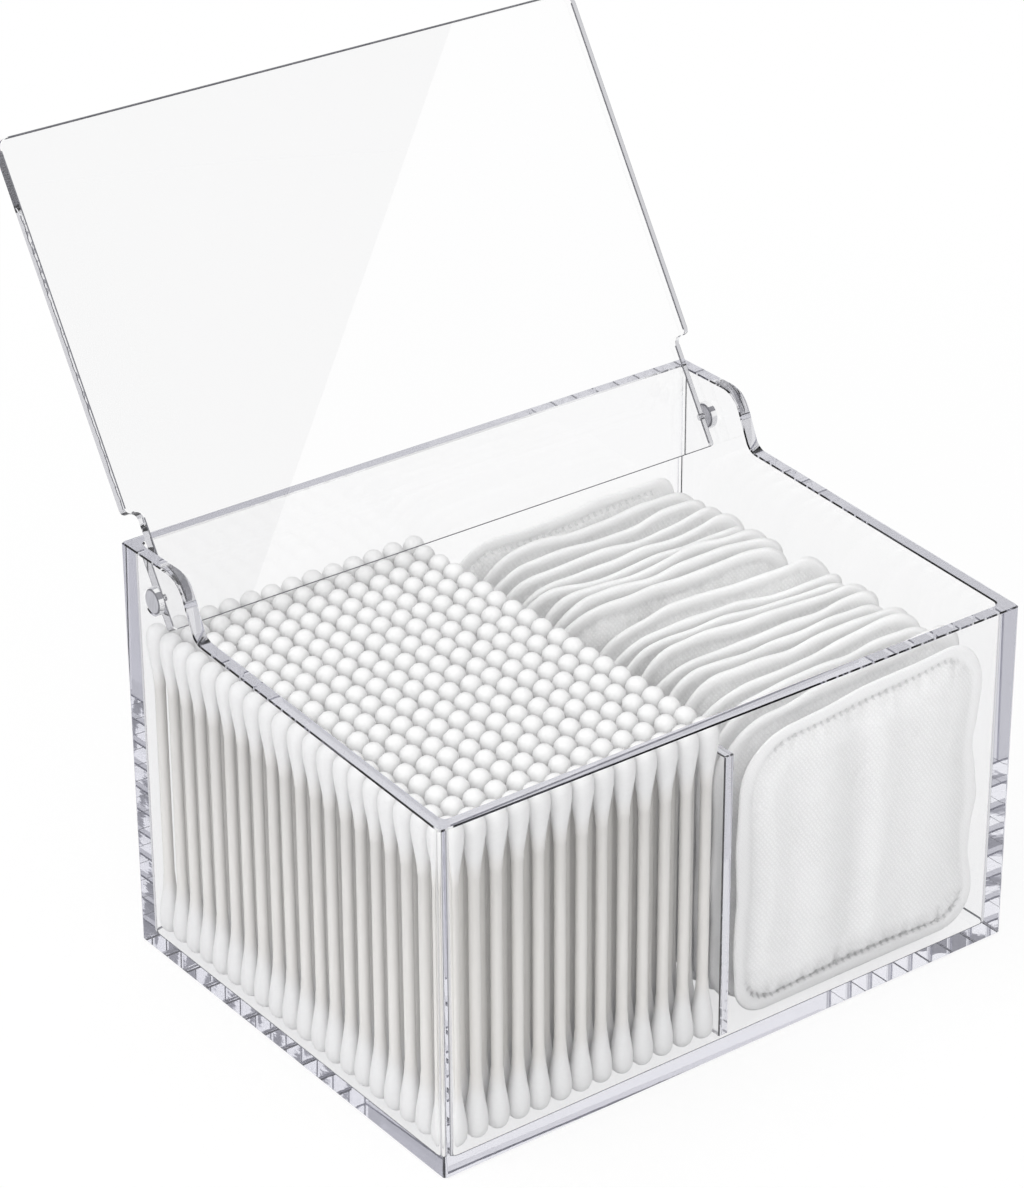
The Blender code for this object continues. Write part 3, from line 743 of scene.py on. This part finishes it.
# Paper rolled into a hard stick: a warmer white than the cotton, with fine upright fibres and a faint gloss.
swab_paper = grained_material(
    "rolled_paper_stick", ("#D5D3CF", "#E3E1DE"), (1, 1, 0.08), 0.7 * MM, 3.0, (0.4, 0.05 * MM), {"Roughness": 0.7})
plain_swab = swab_shape("swab_pattern", BUD_SHAPE, SWAB_SIDES)
fine_swab = swab_shape("fine_swab_pattern", FINE_BUD_SHAPE, FINE_SWAB_SIDES)
row_tree, row_socket = swab_row_tree()
for number in range(1, SWAB_ROWS + 1):
    node = "swab_row_%02d" % number
    low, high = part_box(node)
    pitch = (high[1] - low[1]) / SWABS_IN_ROW
    row = object_from("cotton_" + node, [], [])
    nodes = row.modifiers.new("row_of_swabs", "NODES")
    nodes.node_group = row_tree
    for name, value in (
        ("Count", SWABS_IN_ROW), ("First", ((low[0] + high[0]) / 2, low[1] + pitch / 2, SWAB_REST)),
        ("Pitch", pitch), ("Play", SWAB_PLAY), ("Lean", SWAB_LEAN), ("Seed", number),
        ("Seen From Side", number in (1, SWAB_ROWS)), ("Swab", plain_swab), ("Fine Swab", fine_swab),
        ("Cotton", swab_cotton), ("Paper", swab_paper),
    ):
        nodes[row_socket[name]] = value
    settle(row)
    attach(row, "tray_body")
    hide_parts(node)
for pattern in (plain_swab, fine_swab):
    bpy.data.objects.remove(pattern, do_unlink=True)


# Cotton pads. Twenty soft squares of cotton between two sheets of nonwoven, stood on edge one behind the other. Each is
# pressed thin round its edge, with a row of small pressed dashes along it, and swells between. Their feet stand evenly
# on the floor and their tops lean this way and that, so that they bunch in places and fan out in others.
PAD_COUNT = 20
PAD_GRID, FRONT_PAD_GRID = 72, 190     # squares along a side; the two outer pads show their whole face
PAD_CROWN = 2.25 * MM                  # half the thickness at the middle of a pad
PAD_EDGE = 0.20 * MM                   # half the thickness of the pressed edge
PAD_FLANGE = 0.30 * MM                 # how much it swells again between edge and seam
PAD_SLOPE = 7.0 * MM                   # from the seam to the full crown
PAD_CORNERS = (8.0, 13.0, 10.0, 9.0)   # radii in mm: upper right, upper left, lower left, lower right
PAD_MARGIN = 0.3 * MM                  # keeps the waves of the side edges within the pad's box
PAD_TOUCH = 0.47                       # most of the way to its neighbour's middle that a pad may swell
PAD_FOLD = 1.0 * MM
PAD_RIDGE = 0.6 * MM
PAD_TURN = 2.399                       # radians between the phases of neighbours, so that no two pads are alike
MESH_PITCH = 0.8 * MM
SEAM_INSET = 3.6 * MM
SEAM_DEPTH = 0.42 * MM
SEAM_PITCH = 1.75 * MM
SEAM_SLANT = 0.45                      # how far a dash leans along the edge for its length across it
SEAM_DENT = 0.12 * MM
SEAM_FAINT = 0.18                      # how much of the dashes shows on the pads inside the pile
DASH_TURN = math.tau / (SEAM_PITCH / MM)
WAVE_UNIT = 32 * MM                    # for the waves across the pile: about half a pad's width
PILE_WAVES = (                         # height in mm, waves across and through the pile, start, share at foot, power
    (1.3, 1.7, 5.2, 0.4, 0.0, 1), (0.75, 3.7, -11.0, 1.1, 0.15, 1), (0.42, 6.9, 23.0, 2.0, 0.0, 2),
    (0.25, 11.0, -41.0, 0.7, 0.0, 4))
TOP_GAPS = (                           # between the tops of neighbours, front to back, in shares of their sum
    5.4, 4.6, 4.4, 4.2, 4.6, 3.6, 5.8, 3.6, 3.2, 7.0, 10.0, 4.0, 3.6, 3.2, 3.6, 4.4, 5.4, 4.8, 7.6)
TOP_SLOPES = (                         # how much higher the right end of each pad's top is than its left, in mm
    4.2, 3.4, 1.0, 4.0, 0.4, 1.2, 3.6, 0.6, 1.4, 0.6, 3.2, 1.6, 0.8, 1.8, 0.4, 1.4, 0.8, 1.8, 0.6, 2.0)

boxes = [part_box("cotton_pad_%02d" % number) for number in range(1, PAD_COUNT + 1)]
stack_front = min(low[1] for low, high in boxes)
stack_depth = max(high[1] for low, high in boxes) - stack_front
pad_pitch = stack_depth / PAD_COUNT
(pad_left, _, pad_foot), (pad_right, _, pad_head) = boxes[0]
tops = [0.0]
for gap in TOP_GAPS:
    tops.append(tops[-1] + gap / sum(TOP_GAPS) * (stack_depth - pad_pitch))


def nonwoven_cotton():
    """Nonwoven cotton sheet over cotton fill: matt white, embossed with a fine slanting mesh, and soft at the edge.

    The real mesh is about half a millimetre and is drawn a little coarser, so that it shows; its grooves are painted
    a little darker, as painted shade. The pressed dashes are painted greyer than the sheet round them, as painted
    shade in their dents.
    """
    material, tree = empty_material("nonwoven_cotton")
    place = add_node(tree, "ShaderNodeTexCoord").outputs["Object"]
    across = []
    for angle in (35, -55):
        turned = add_node(tree, "ShaderNodeMapping", None, {"Vector": place, "Rotation": (0, math.radians(angle), 0)})
        across.append(add_node(tree, "ShaderNodeTexWave", {"bands_direction": "X"}, {
            "Vector": turned.outputs[0], "Scale": math.tau / 20 / MESH_PITCH, "Distortion": 3.5,
            "Detail": 2.0, "Detail Scale": 1.5}).outputs["Fac"])
    inset, run, share = [
        add_node(tree, "ShaderNodeAttribute", {"attribute_name": label}).outputs["Fac"]
        for label in ("edge_distance", "edge_run", "seam_share")]
    mesh = math_of(tree, "MAXIMUM", across[0], product_of(tree, across[1], 0.85))
    worn = ramp_of(tree, noise_of(tree, place, 11 * MM, 2.0), 0.35, 0.65, 0.75, 1.0)
    puffed = ramp_of(tree, inset, 2.0, 5.0, 0.3, 1.0)
    mesh = product_of(tree, mesh, worn, puffed)
    fibre = noise_of(tree, place, 0.8 * MM, 5.0, 0.7, 1.0)
    cloud = noise_of(tree, place, 9 * MM, 2.0)
    off = math_of(tree, "ABSOLUTE", math_of(tree, "SUBTRACT", inset, SEAM_INSET / MM))
    band = ramp_of(tree, off, 0.5, 0.85, 1.0, 0.0)
    slant = math_of(tree, "MULTIPLY_ADD", inset, SEAM_SLANT, run)
    stroke = ramp_of(tree, math_of(tree, "SINE", product_of(tree, slant, DASH_TURN)), 0.1, 0.75)
    dash = product_of(tree, stroke, band, share)
    # Painted shade: the mesh's grooves are multiplied darker in the tone.
    tone = tint_of(tree, mesh, tint_of(tree, cloud, "#F8F8F8", "#FCFCFC"), "#F3F3F3", blend="MULTIPLY")
    height = math_of(tree, "MULTIPLY_ADD", fibre, 0.08, product_of(tree, mesh, -0.27))
    height = math_of(tree, "MULTIPLY_ADD", dash, -0.3, height)
    # Painted shade: the dashes are painted greyer in their dents.
    end_material(tree, tint_of(tree, dash, tone, "#DADADA"), height, 0.7, 0.35 * MM, {
        "Roughness": 0.95, "Subsurface Weight": 0.85, "Subsurface Radius": (1, 1, 1), "Subsurface Scale": 4.0 * MM,
        "Sheen Weight": 0.3, "Sheen Roughness": 0.5, "Specular IOR Level": 0.2})
    return material


def outline_reach(angle, half_x, half_z, corners):
    """How far the rounded outline is from the pad's middle in each direction. Corners are radii by quadrant."""
    c, s = np.cos(angle), np.sin(angle)
    corner = np.select([(c >= 0) & (s >= 0), (c < 0) & (s >= 0), (c < 0) & (s < 0)], corners[:3], corners[3])
    reach = np.minimum(half_x / np.maximum(np.abs(c), 1e-9), half_z / np.maximum(np.abs(s), 1e-9))
    x, z = reach * c, reach * s
    in_corner = (np.abs(x) > half_x - corner) & (np.abs(z) > half_z - corner)
    centre_x, centre_z = np.sign(c) * (half_x - corner), np.sign(s) * (half_z - corner)
    along = centre_x * c + centre_z * s
    square = centre_x * centre_x + centre_z * centre_z - corner * corner
    return np.where(in_corner, along + np.sqrt(np.maximum(along * along - square, 0)), reach)


def ripple(at, length, start=0.0):
    """A wave along a distance. Its length is in mm."""
    return np.sin(math.tau * at / (length * MM) + start)


def bell(at, width, power=2):
    """One where a distance is nothing, and soon nothing on both sides. The width is in mm."""
    return np.exp(-(at / (width * MM)) ** power)


def middle_depth(number, x, z):
    """Where the middle of a pad lies, front to back. Pads 0 and 21 stand for the walls."""
    if number == 0:
        return np.full_like(x, stack_front - PAD_CROWN)
    if number > PAD_COUNT:
        return np.full_like(x, stack_front + stack_depth + PAD_CROWN)
    share = (number - 1) / (PAD_COUNT - 1)
    foot = stack_front + (number - 0.5) * pad_pitch
    head = stack_front + 0.5 * pad_pitch + tops[number - 1]
    across = (x - (pad_left + pad_right) / 2) / WAVE_UNIT
    up = np.clip((z - pad_foot) / (pad_head - pad_foot), 0, 1.1)
    # The first and last pads lie nearly flat against the walls.
    calm = (0.12 + 0.88 * math.sin(math.pi * min(max(share, 0.02), 0.98)) ** 0.6) * MM
    wave = sum(size * np.sin(count * across + drift * share + start) * (least + (1 - least) * up ** power)
               for size, count, drift, start, least, power in PILE_WAVES)
    wave += 0.9 * np.sin(math.pi * up) * math.sin(2.6 * share * math.tau + 0.8)
    return foot + (head - foot) * up ** 1.25 + calm * wave


def cotton_pad(name, number, low, high, fine, material):
    """Both faces of a pad as grids of quads that share their edge."""
    outer = number in (1, PAD_COUNT)
    turn = PAD_TURN * number
    half_x, half_z = (high[0] - low[0]) / 2 - PAD_MARGIN, (high[2] - low[2]) / 2
    middle_x = (high[0] + low[0]) / 2 + 0.8 * MM * math.sin(turn)
    middle_z = low[2] + half_z
    steps = np.linspace(-1, 1, fine + 1)
    u, v = np.meshgrid(steps, steps, indexing="xy")
    size = np.maximum(np.abs(u), np.abs(v))
    angle = np.arctan2(v * half_z, u * half_x)
    corners = [(radius + 1.5 * math.sin(turn + k)) * MM for k, radius in enumerate(PAD_CORNERS)]
    edge = outline_reach(angle, half_x, half_z, corners)
    x, z = size * edge * np.cos(angle), size * edge * np.sin(angle)
    inset = (1 - size) * edge

    # The outline: wavy sides, a top that slopes and wavers, and a straight foot.
    near_edge = size ** 4
    up = 0.5 + 0.5 * z / half_z
    flutter = 0.85 * ripple(z, 24, turn) + 0.12 * ripple(z, 9, 2 * turn)
    to_right, to_left, to_top = (np.clip(part, 0, 1) for part in (np.cos(angle), -np.cos(angle), np.sin(angle)))
    x = x + near_edge * MM * (to_right * (flutter - 0.4) + to_left * 0.3 * flutter)
    ragged = 0.40 * ripple(x, 31, 3 * turn) + 0.12 * ripple(x, 13, turn)
    z = z + near_edge * MM * to_top * ragged * (0.3 if number == 1 else 1.0)
    z = z + up * MM * (TOP_SLOPES[number - 1] * 0.5 * x / half_x + 0.35 * math.sin(1.7 * turn) - 0.35)
    x, z = middle_x + x, middle_z + z
    z = np.maximum(z, low[2])

    # Half the thickness: a pressed edge, a seam, upright folds with one ridge, and puckers inside the seam.
    flange = PAD_FLANGE * (1 - np.exp(-inset / (0.8 * MM)))
    rise = np.clip((inset - SEAM_INSET) / PAD_SLOPE, 0, 1)
    swell = (PAD_CROWN - PAD_EDGE - PAD_FLANGE) * rise * rise * (3 - 2 * rise)
    crosswise = np.clip((np.abs(z - middle_z) - half_z * 0.72) / (half_z * 0.12), 0.0, 1.0)
    half = PAD_EDGE + flange + swell - SEAM_DEPTH * bell(inset - SEAM_INSET, 0.8) * (0.5 + 0.5 * crosswise)
    bent = x + 1.3 * MM * np.sin(z / (21 * MM) + turn)
    folds = sum(0.5 + 0.5 * ripple(bent, length, start + turn) for length, start in ((26, 0.4), (15, 2.1))) / 2
    half = half - PAD_FOLD * (1 - folds) * rise + PAD_RIDGE * (bell(bent - middle_x - 0.1 * half_x, 3.2) - 1) * rise
    level = np.abs(np.sin(angle)) * half_x > np.abs(np.cos(angle)) * half_z
    run = np.where(level, -np.sign(np.sin(angle)) * x, np.sign(np.cos(angle)) * z)
    pucker = 0.16 * MM * ripple(run, 4.7, turn) + 0.10 * MM * ripple(run, 3.1)
    half = half + pucker * (0.3 + 0.7 * crosswise) * bell(inset - SEAM_INSET - 2.6 * MM, 2.4)

    # The dashes, along the top and the foot.
    corner_fade = np.clip((half_x - np.abs(x - middle_x) - 6.0 * MM) / (2.0 * MM), 0.0, 1.0)
    share = crosswise * np.where(z > middle_z, corner_fade, 1.0) * (1.0 if outer else SEAM_FAINT)
    stroke = np.clip(np.sin(math.tau * (run + SEAM_SLANT * inset) / SEAM_PITCH) * 1.6 + 0.1, 0, 1)
    half = half - SEAM_DENT * stroke * bell(inset - SEAM_INSET, 0.75, 4) * share
    middle = middle_depth(number, x, z)
    front = middle - np.minimum(half, PAD_TOUCH * (middle - middle_depth(number - 1, x, z)))
    back = middle + np.minimum(half, PAD_TOUCH * (middle_depth(number + 1, x, z) - middle))
    front = np.maximum(front, stack_front)
    back = np.minimum(back, stack_front + stack_depth)

    count = fine + 1
    on_edge = (size > 1 - 1e-9).reshape(-1)
    front_skin, back_skin = (np.stack([x, depth, z], -1).reshape(-1, 3) for depth in (front, back))
    front_skin[on_edge] = (front_skin[on_edge] + back_skin[on_edge]) / 2
    inner = np.flatnonzero(~on_edge)
    back_index = np.arange(count * count)
    back_index[inner] = count * count + np.arange(len(inner))
    first = (np.arange(fine)[:, None] * count + np.arange(fine)[None, :]).reshape(-1)
    front_faces = np.stack([first, first + 1, first + count + 1, first + count], -1)
    back_faces = back_index[front_faces[:, ::-1]]
    vertices = np.concatenate([front_skin, back_skin[inner]])
    item = object_from(name, vertices.tolist(), np.concatenate([front_faces, back_faces]).tolist(), material)

    for label, values in (("edge_distance", inset / MM), ("edge_run", run / MM), ("seam_share", share)):
        values = values.reshape(-1)
        stored = item.data.attributes.new(label, "FLOAT", "POINT")
        stored.data.foreach_set("value", np.concatenate([values, values[inner]]).astype(np.float32))
    sheet_map = item.data.uv_layers.new(name="sheet")
    at = np.zeros(len(item.data.loops), np.int32)
    item.data.loops.foreach_get("vertex_index", at)
    sheet_map.data.foreach_set("uv", (vertices[at][:, [0, 2]] * 10).astype(np.float32).reshape(-1))
    outwards(item)
    item.data.shade_smooth()
    return item


pad_cotton = nonwoven_cotton()
for number, (low, high) in enumerate(boxes, 1):
    fine = FRONT_PAD_GRID if number in (1, PAD_COUNT) else PAD_GRID
    pad = cotton_pad("soft_cotton_pad_%02d" % number, number, low, high, fine, pad_cotton)
    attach(pad, "tray_body")
    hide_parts("cotton_pad_%02d" % number)
